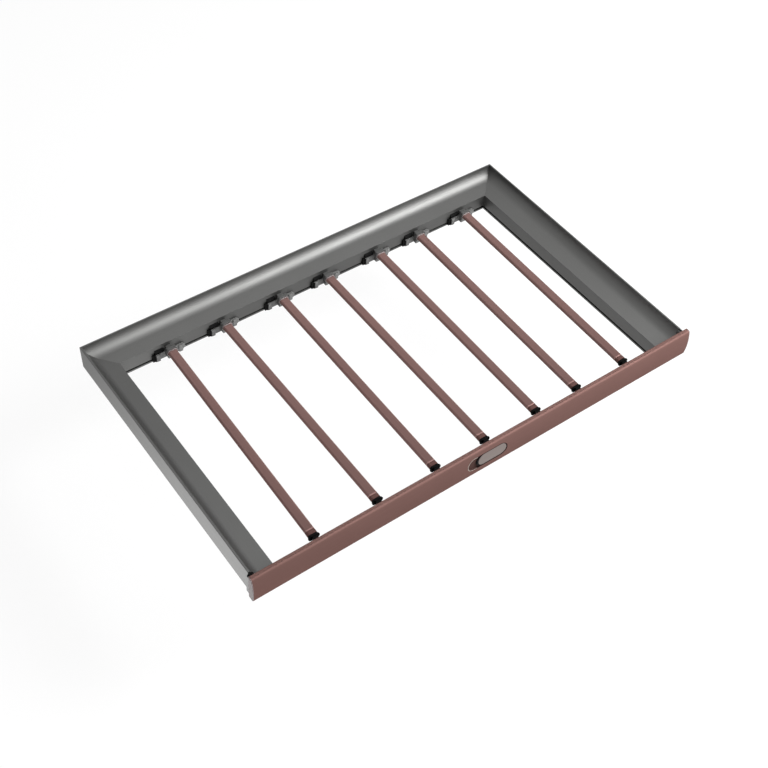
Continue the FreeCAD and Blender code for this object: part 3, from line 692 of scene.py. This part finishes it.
class RACK_OT_slider(bpy.types.Operator):
    """Model the obround tray in the panel and the thumb plate that slides in it"""

    bl_idname = "rack.slider"
    bl_label = "Thumb slider"

    def execute(self, context):
        sizes = context.scene.rack_sizes
        floor = TRAY_HIGH.y - TRAY_FLOOR
        tray = inlaid("slider_dish", TRAY_LOW, TRAY_HIGH, -TRAY_PROUD)
        rim, beyond = Vector((TRAY_RIM, 0, TRAY_RIM)), 5 * MM
        well_low, well_high = TRAY_LOW + rim, TRAY_HIGH - rim
        carve(tray, obround("well", (well_low.x, TRAY_LOW.y - beyond, well_low.z),
                            (well_high.x, floor, well_high.z)))
        highlight_end = THUMB_LOW.x + 1.5 * MM
        edit()
        select()
        bpy.ops.mesh.bisect(plane_co=(highlight_end, 0, 0), plane_no=(1, 0, 0))
        at_rest()
        soften(tray, 0.15 * MM, CURVED_CREASE)
        wear(tray, "rack", "tray_brown", "tray_brown", "slider_tray")
        tray.data.materials.append(finish("cut_edge"))
        tray.data.materials.append(finish("tray_shadow"))
        back = floor - 0.3 * MM
        # Painted highlight and painted shadow: outer rim faces left of the thumb plate take the
        # light grey, and faces in front of the floor along the plate take the near-black brown.
        for face in tray.data.polygons:
            if face.center.y < back:
                outer = face.normal.y < -0.5
                face.material_index = 2 if face.center.x > highlight_end else 1 if outer else 0

        base = inlaid("thumb_base", THUMB_LOW, (THUMB_HIGH.x, back, THUMB_HIGH.z), 2 * THUMB_SUNK)
        soften(base, FINE_EDGE, CURVED_CREASE)
        wear(base, "thumb", "black_plastic", "nylon_black")

        low = Vector((THUMB_LOW.x + sizes.crescent, THUMB_LOW.y, THUMB_LOW.z + THUMB_INSET))
        high = Vector((THUMB_HIGH.x - THUMB_INSET, back - 0.2 * MM, THUMB_HIGH.z - THUMB_INSET))
        plate = inlaid("thumb_plate", low, high, THUMB_SUNK)
        soften(plate, 0.25 * MM, CURVED_CREASE, segments=3)
        wear(plate, "thumb", "thumb_silver", "thumb_silver", "thumb_slider")
        return {"FINISHED"}


# ---- bars ----------------------------------------------------------------------------------------
def tube_axis(number):
    """Matrix that puts a piece made along +Y at x = z = 0 on the axis of this bar."""
    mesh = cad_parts["bar_tube_%d" % number].data
    low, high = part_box("bar_tube_%d" % number)
    reach = 2 * MM
    ends = []
    for limit in (low.y, high.y):
        ring = [v.co for v in mesh.vertices if abs(v.co.y - limit) < reach]
        ends.append(sum(ring, Vector()) / len(ring))
    front, rear = ends
    lean = math.atan2(rear.x - front.x, rear.y - front.y)
    return (Matrix.Translation(front) @ Matrix.Rotation(-lean, 4, "Z")
            @ Matrix.Translation(Vector((0, -front.y, 0))))


def stepped(start, *steps):
    """Steps for an oval, given in mm and counted from y = start; each is (wider, higher, y)."""
    return [(wider * MM, higher * MM, start + y * MM) for wider, higher, y in steps]


class RACK_OT_bars(bpy.types.Operator):
    """Model a tube, a collar and a cup, and set one of each on every bar"""

    bl_idname = "rack.bars"
    bl_label = "Hanging bars"

    def execute(self, context):
        sizes = context.scene.rack_sizes
        tube_low, tube_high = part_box("bar_tube_%d" % BARS[0])
        front, ring = tube_low.y, sizes.ring / MM
        length = (tube_high.y - front) / MM
        tube = oval("tube_pattern", stepped(
            front, (-1.4, -1.4, 0), (-0.4, -0.4, 0), (-0.1, -0.1, 0.1), (0.08, 0.08, 0.5),
            (0.08, 0.08, ring), (0, 0, ring + 0.1), (0, 0, length), (-1.4, -1.4, length),
            (-1.4, -1.4, 0)), sizes.bar_steps)
        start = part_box("bar_collar_%d" % BARS[0])[0].y
        tube_at = (front - start) / MM
        collar = oval("collar_pattern", stepped(
            start, (-0.2, -0.2, 0), (0.15, 0.15, 0.3), (0.15, 0.15, tube_at - 1.15),
            (-0.2, -0.2, tube_at - 0.8), (-1, -1, tube_at - 0.8), (-1, -1, tube_at),
            (-1.5, -1.5, tube_at), (-1.5, -1.5, tube_at + 4)), sizes.bar_steps)
        cup = oval("cup_pattern", stepped(
            start, (-3, -1.2, -2.6), (0.9, 0.5, -3.6), (1.2, 1.0, -4.3), (1.45, 1.3, -4.4),
            (1.65, 1.5, -4.1), (1.7, 1.55, -3.4), (1.6, 1.4, -2.6), (1.25, 1.1, -1.9),
            (0.7, 0.6, -1.2), (0.4, 0.4, -0.6), (0.3, 0.3, 0), (-1.4, -1.4, 0)), sizes.bar_steps)
        for piece in (tube, collar, cup):
            smooth(piece, CURVED_CREASE)
        for number in BARS:
            place = tube_axis(number)
            for pattern_piece, name, material, slot, node in (
                    (tube, "hanging_bar_%d", "bar_brown", "bar_brown", "bar_tube_%d"),
                    (collar, "collar_%d", "collar_brown", "collar_brown", "bar_collar_%d"),
                    (cup, "flared_cup_%d", "black_rubber", "cup_black", "front_cup_%d")):
                piece = copied(pattern_piece, name % number, place)
                wear(piece, "bar_%d" % number, material, slot, node % number)
                if pattern_piece is tube:
                    piece.data.materials.append(finish("bright_ring"))
                    for face in piece.data.polygons:
                        face.material_index = int(face.center.y < front + sizes.ring)
            wear(t_foot(number), "bar_%d" % number, "black_plastic", "nylon_black")
        for pattern_piece in (tube, collar, cup):
            bpy.data.objects.remove(pattern_piece)
        return {"FINISHED"}


def t_foot(number):
    """Slide foot of a front cup: a neck through the track's mouth and a head inside it."""
    low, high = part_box("front_cup_%d" % number)
    axis = (TRACK_LOW.z + TRACK_HIGH.z) / 2
    x = low.x + (high.x - low.x) / 2
    block((x - CUP_FOOT_HALF, low.y, axis - CUP_FOOT_HALF),
          (x + CUP_FOOT_HALF, low.y + CUP_FOOT_HEIGHT, axis + CUP_FOOT_HALF))
    choose("faces", lambda face: face.normal.y > 0.99)
    bpy.ops.mesh.inset(thickness=CUP_FOOT_HALF - CUP_NECK_HALF, depth=0)
    extrude((0, TRACK_HIGH.y - low.y + 6 * MM, 0))
    foot = named("cup_foot_%d" % number)
    soften(foot, 0.3 * MM)
    return foot


# ---- rear carriers -------------------------------------------------------------------------------
class RACK_OT_carriers(bpy.types.Operator):
    """Model the winged holders that carry the bars' rear ends"""

    bl_idname = "rack.carriers"
    bl_label = "Rear carriers"

    def execute(self, context):
        sizes = context.scene.rack_sizes
        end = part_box("bar_tube_%d" % BARS[0])[1].y
        lip = oval("lip_pattern", stepped(
            end, (0.25, 0.25, 0.6), (0.25, 0.25, -1.1), (0.5, 0.5, -1.4), (1.1, 1.1, -1.4),
            (1.5, 1.5, -1.0), (1.5, 1.5, 0.6), (0.25, 0.25, 0.6)), sizes.bar_steps)
        smooth(lip, CURVED_CREASE)
        trim = wing_shadows(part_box("rear_carrier_%d" % BARS[0])[0].z)
        for number in BARS:
            node, body = "rear_carrier_%d" % number, "bar_%d" % number
            low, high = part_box(node)
            centre = (low.x + high.x) / 2
            holder = clean_copy(node, "bar_holder_%d" % number)
            soften(holder, sizes.edge, angle=25)
            wear(holder, body, "carrier_grey", "carrier_grey", node)
            shaded_boss(holder, centre)
            socket = copied(lip, "socket_lip_%d" % number, tube_axis(number))
            wear(socket, body, "lip_grey", "carrier_grey")
            # Black pieces that paint the boss's shadow on the left wing.
            for stem, pattern_piece in trim.items():
                piece = copied(pattern_piece, stem % number, Matrix.Translation((centre, 0, 0)))
                wear(piece, body, "black_rubber", "cup_black")
        for pattern_piece in (lip, *trim.values()):
            bpy.data.objects.remove(pattern_piece)
        return {"FINISHED"}


def shaded_boss(holder, centre):
    """Paints shade on the socket block of a holder: its faces above the foot take a darker copy of
    the holder's grey.
    """
    holder.data.materials.append(finish("carrier_dark"))
    for face in holder.data.polygons:
        near = abs(face.center.x - centre) < BOSS_HALF
        face.material_index = int(near and face.center.z > BOSS_FOOT)


def wing_shadows(low):
    """Painted shadow: a black pad on the end of a holder's left wing and a black strip along its
    top, where the boss casts its shadow, by name stem.
    """
    wall, gap = REAR_Y - PROFILE_WIDTH, 0.05 * MM
    outline = ((SHADOW_PAD_NEAR, gap), (SHADOW_PAD_NEAR, SHADOW_PAD_THICK), (SHADOW_PAD_BEND, SHADOW_PAD_THIN), (SHADOW_PAD_FAR, SHADOW_PAD_THIN),
               (SHADOW_PAD_FAR, gap))
    shadow_pad = prism("pad_pattern", lambda a, b: Vector((-a, wall - b, low - gap)), outline,
                (0, 0, WING_TOP - low + 2 * gap))
    foot = WING_TOP + 2 * gap
    outline = ((gap, foot), (SHADOW_STRIP_THICK, foot), (SHADOW_STRIP_THICK, foot + SHADOW_STRIP_FRONT),
               (gap, foot + SHADOW_STRIP_BACK))
    shadow_strip = prism("seal_pattern", lambda a, b: Vector((-SHADOW_STRIP_FAR, wall - a, b)), outline,
                 (SHADOW_STRIP_LENGTH, 0, 0))
    return {"wing_pad_%d": shadow_pad, "wing_seal_%d": shadow_strip}


def clean_copy(node, name):
    """Copy of a construction solid with its triangles joined into faces."""
    at_rest()
    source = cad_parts[node]
    piece = source.copy()
    piece.data = source.data.copy()
    for key in list(piece.keys()):
        del piece[key]
    piece.parent = None
    piece.name = piece.data.name = name
    piece.data.materials.clear()
    bpy.context.scene.collection.objects.link(piece)
    bpy.context.view_layer.objects.active = piece
    piece.select_set(True)
    edit()
    select()
    bpy.ops.mesh.customdata_custom_splitnormals_clear()
    bpy.ops.mesh.remove_doubles(threshold=2 * WELD)
    bpy.ops.mesh.dissolve_limited(angle_limit=math.radians(1))
    return named(name)


# ---- runners and inner pieces --------------------------------------------------------------------
# Finish, slot and body of each node, and whether it has a left and a right one.
DRESSED = {
    "cabinet_rail": ("runner_zinc", "runner_zinc", "cabinet_rails", True),
    "middle_rail": ("runner_zinc", "runner_zinc", "middle_rails", True),
    "drawer_rail": ("runner_zinc", "runner_zinc", "rack", True),
    "end_block": ("frame_grey_x", "frame_grey", "rack", True),
    "joint_flange": ("flange_dark", "flange_black", "rack", True),
    "corner_key": ("mill_aluminium", "mill_aluminium", "rack", True),
    "lower_roller_cages": ("nylon_white", "cage_nylon", "lower_cages", False),
    "upper_roller_cages": ("nylon_white", "cage_nylon", "upper_cages", False),
    "lower_rollers": ("roller_steel", "roller_steel", "lower_cages", False),
    "upper_rollers": ("roller_steel", "roller_steel", "upper_cages", False),
    "closing_buffers": ("black_rubber", "buffer_rubber", "cabinet_rails", False),
    "slider_shoe": ("black_plastic", "nylon_black", "thumb", False),
    "front_track": ("track_grey", "track_grey", "rack", False),
}


class RACK_OT_inner(bpy.types.Operator):
    """Dress the runners, the track and the other inner pieces"""

    bl_idname = "rack.inner"
    bl_label = "Runners and inner pieces"

    def execute(self, context):
        sizes = context.scene.rack_sizes
        for stem, (material, slot, body, sided) in DRESSED.items():
            for node in [stem + "_" + side for side in SIDES] if sided else [stem]:
                piece = clean_copy(node, node + "_dressed")
                soften(piece, sizes.edge * 0.6)
                wear(piece, body, material, slot, node)
                # Painted shade: the left flange's rim is blackened next to the black disc.
                if node == "joint_flange_left":
                    black_top(piece)
        # Black disc that paints the shade in the gap at the left front corner.
        wear(corner_plug(), "rack", "black_rubber", "flange_black")
        return {"FINISHED"}


def black_top(flange):
    """Paints shade on the left joint flange: its rim round the black disc is made black, where the
    gap lies in shade.
    """
    flange.data.materials.append(finish("black_rubber"))
    for face in flange.data.polygons:
        outer = face.center.x + OUTER_X < FLANGE_RIM
        face.material_index = int(outer and face.center.z > FLANGE_RIM_Z)


def corner_plug():
    """Round black disc between the panel and the front end of the left side profile, painting the
    shade in the gap there.
    """
    gap = 0.1 * MM
    front, rear = PANEL_HIGH.y + gap, FRONT_Y - gap
    at_rest()
    bpy.ops.mesh.primitive_cylinder_add(
        vertices=48, radius=SHADE_DISC_RADIUS, depth=rear - front, rotation=(math.pi / 2, 0, 0),
        location=(SHADE_DISC_INWARDS - OUTER_X, (front + rear) / 2, SHADE_DISC_Z))
    shade_disc = named("corner_plug")
    soften(shade_disc, 0.3 * MM)
    return shade_disc


# ---- screws --------------------------------------------------------------------------------------
def pan_head(name, radius, height):
    """Pan-head screw with a cross recess, seated at the origin and facing up."""
    at_rest()
    bpy.ops.mesh.primitive_cylinder_add(vertices=48, radius=radius, depth=height,
                                        location=(0, 0, height / 2))
    head = named(name)
    arm, slot, deep = radius * 0.6, radius * 0.13, height * 0.55
    for across, along in ((arm, slot), (slot, arm)):
        block((-across, -along, height - deep), (across, along, height + deep))
        carve(head, named("recess"))
    soften(head, height * 0.25, segments=3)
    return head


class RACK_OT_screws(bpy.types.Operator):
    """Set the screws of the rear corner keys and of the front end blocks"""

    bl_idname = "rack.screws"
    bl_label = "Screws"

    def execute(self, context):
        head = pan_head("screw_pattern", SCREW_RADIUS, SCREW_HEIGHT)
        down, back = Matrix.Rotation(math.pi, 4, "X"), Matrix.Rotation(-math.pi / 2, 4, "X")
        block_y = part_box("end_block_left")[1].y
        near, far = KEY_SCREWS
        outer, inner = BLOCK_SCREWS
        places = (("corner_screw", (near, REAR_Y - far, WEB_BOTTOM), down),
                  ("corner_screw_inner", (far, REAR_Y - near, WEB_BOTTOM), down),
                  ("panel_screw", (outer, block_y, BLOCK_SCREW_Z), back),
                  ("panel_screw_inner", (inner, block_y, BLOCK_SCREW_Z), back))
        for name, side in SIDES.items():
            for stem, (inwards, y, z), turn in places:
                place = Matrix.Translation(Vector((side * (OUTER_X - inwards), y, z)))
                screw = copied(head, stem + "_" + name, place @ turn)
                wear(screw, "rack", "screw_zinc", "screw_zinc")
        bpy.data.objects.remove(head)
        return {"FINISHED"}


# ---- stage ---------------------------------------------------------------------------------------
CAMERA_PLACE = Vector((-0.87041, -1.05493, 1.53797))
CAMERA_RIGHT = Vector((0.80825, -0.58672, 0.04989))
CAMERA_DOWN = Vector((-0.41942, -0.63312, -0.65057))
LENS_MM, SENSOR_MM = 57.74, 36

# Name, place, aim, size and power in watts of each light.
LIGHTS = (("key_light", (1.5, -1.8, 1.1), (0.1, 0.2, 0), (1.4, 1.7), 64),
          ("high_key", (1.5, -1.15, 2.0), (0.2, 0.2, 0), (1.1, 1.1), 108),
          ("top_light", (0.8, 0.8, 2.4), (0, 0, 0), (1.6, 1.6), 6))
FLOOR_SIZE, FLOOR_Z, FLOOR_COLOUR, FLOOR_WHITE = 14, -0.25, (0.82, 0.82, 0.82), 0.85
ROOM_STRENGTH = 0.45

# What metal reflects: a bright patch of floor round a place, and a black card in a direction.
PATCH_PLACE, PATCH_REACH, PATCH_STRENGTH = (-0.75, -0.1, 0), 0.82, 4.4
CARD_TOWARDS, CARD_START, CARD_FULL = Vector((0.84, 0.53, 0.0)).normalized(), 0.68, 0.95
SKY_STRENGTH = 1.05


def softbox(name, place, aim, size, power):
    """Rectangular soft light at place that shines at aim."""
    at_rest()
    bpy.ops.object.light_add(type="AREA", location=place)
    lamp = bpy.context.object
    lamp.name = lamp.data.name = name
    lamp.data.shape = "RECTANGLE"
    lamp.data.size, lamp.data.size_y = size
    lamp.data.energy = power
    lamp.rotation_euler = (Vector(aim) - Vector(place)).to_track_quat("-Z", "Y").to_euler()


def background(tree, surface, share, reflected):
    """Mixes this share of white into what the camera and metal see.

    The camera sees white at strength 1, and reflections see it at the strength from the socket.
    """
    link = tree.links.new
    path = tree.nodes.new("ShaderNodeLightPath")
    camera, glossy = path.outputs["Is Camera Ray"], path.outputs["Is Glossy Ray"]
    strength = tree.nodes.new("ShaderNodeMix")
    strength.inputs["A"].default_value = 1.0
    link(glossy, strength.inputs["Factor"])
    link(reflected, strength.inputs["B"])
    white = tree.nodes.new("ShaderNodeEmission")
    link(strength.outputs["Result"], white.inputs["Strength"])
    seen = tree.nodes.new("ShaderNodeMath")
    seen.operation = "MAXIMUM"
    link(glossy, seen.inputs[0])
    link(camera, seen.inputs[1])
    part = tree.nodes.new("ShaderNodeMath")
    part.operation = "MULTIPLY"
    part.inputs[1].default_value = share
    link(seen.outputs[0], part.inputs[0])
    mix = tree.nodes.new("ShaderNodeMixShader")
    for source, target in zip((part.outputs[0], surface, white.outputs[0]), mix.inputs):
        link(source, target)
    return mix.outputs[0]


def against(tree, output, operation, vector):
    """Value of a vector operation between a texture coordinate and a fixed vector."""
    place = tree.nodes.new("ShaderNodeTexCoord")
    node = tree.nodes.new("ShaderNodeVectorMath")
    node.operation = operation
    node.inputs[1].default_value = vector
    tree.links.new(place.outputs[output], node.inputs[0])
    return node.outputs["Value"]


def glow(tree):
    """Strength of the floor in reflections: brightest round the place of a reflector."""
    return spread(tree, against(tree, "Object", "DISTANCE", PATCH_PLACE), PATCH_STRENGTH, 1.0,
                  0.0, PATCH_REACH, "SMOOTHSTEP")


def sky(tree):
    """Strength of the room in reflections: even, but for the black card."""
    return spread(tree, against(tree, "Generated", "DOT_PRODUCT", CARD_TOWARDS), SKY_STRENGTH, 0.0,
                  CARD_START, CARD_FULL, "SMOOTHSTEP")


class RACK_OT_stage(bpy.types.Operator):
    """Lay the pale floor and set the lights and the camera"""

    bl_idname = "rack.stage"
    bl_label = "Stage"

    def execute(self, context):
        at_rest()
        bpy.ops.mesh.primitive_plane_add(size=FLOOR_SIZE, location=(0, 0, FLOOR_Z))
        floor = named("floor")
        material, tree, principled = shader("pale_floor", FLOOR_COLOUR, 0.0, 0.9)
        surface = background(tree, principled.outputs[0], FLOOR_WHITE, glow(tree))
        tree.links.new(surface, tree.nodes["Material Output"].inputs["Surface"])
        floor.data.materials.append(material)

        world = bpy.data.worlds.new("studio")
        context.scene.world = world
        world.use_nodes = True
        tree = world.node_tree
        dim = tree.nodes["Background"]
        dim.inputs["Color"].default_value = (1, 1, 1, 1)
        dim.inputs["Strength"].default_value = ROOM_STRENGTH
        surface = background(tree, dim.outputs[0], 1.0, sky(tree))
        tree.links.new(surface, tree.nodes["World Output"].inputs["Surface"])

        for light in LIGHTS:
            softbox(*light)

        bpy.ops.object.camera_add(location=CAMERA_PLACE)
        camera = context.object
        camera.name = camera.data.name = "camera"
        camera.data.lens = LENS_MM
        camera.data.sensor_width = SENSOR_MM
        right, up = CAMERA_RIGHT, -CAMERA_DOWN
        camera.rotation_euler = Matrix((right, up, right.cross(up))).transposed().to_euler()
        context.scene.camera = camera
        context.scene.view_settings.view_transform = "Standard"
        return {"FINISHED"}


# ---- add-on --------------------------------------------------------------------------------------
OPERATORS = (RACK_OT_finishes, RACK_OT_frame, RACK_OT_panel, RACK_OT_slider, RACK_OT_bars,
             RACK_OT_carriers, RACK_OT_inner, RACK_OT_screws, RACK_OT_stage)


class RACK_PT_panel(bpy.types.Panel):
    """Lists the rack's sizes, finishes and operators in the sidebar"""

    bl_idname = "RACK_PT_panel"
    bl_label = "Trouser rack"
    bl_space_type = "VIEW_3D"
    bl_region_type = "UI"
    bl_category = "Trouser rack"

    def draw(self, context):
        for group in (context.scene.rack_sizes, context.scene.rack_finishes):
            for name in group.__annotations__:
                self.layout.prop(group, name)
        for operator in OPERATORS:
            self.layout.operator(operator.bl_idname)


CLASSES = (RackSizes, RackFinishes, *OPERATORS, RACK_PT_panel)


def register():
    for made in CLASSES:
        bpy.utils.register_class(made)
    bpy.types.Scene.rack_sizes = PointerProperty(type=RackSizes)
    bpy.types.Scene.rack_finishes = PointerProperty(type=RackFinishes)


def unregister():
    del bpy.types.Scene.rack_finishes
    del bpy.types.Scene.rack_sizes
    for made in reversed(CLASSES):
        bpy.utils.unregister_class(made)


def main():
    register()
    for operator in OPERATORS:
        category, name = operator.bl_idname.split(".")
        getattr(getattr(bpy.ops, category), name)()


if __name__ == "__main__":
    main()
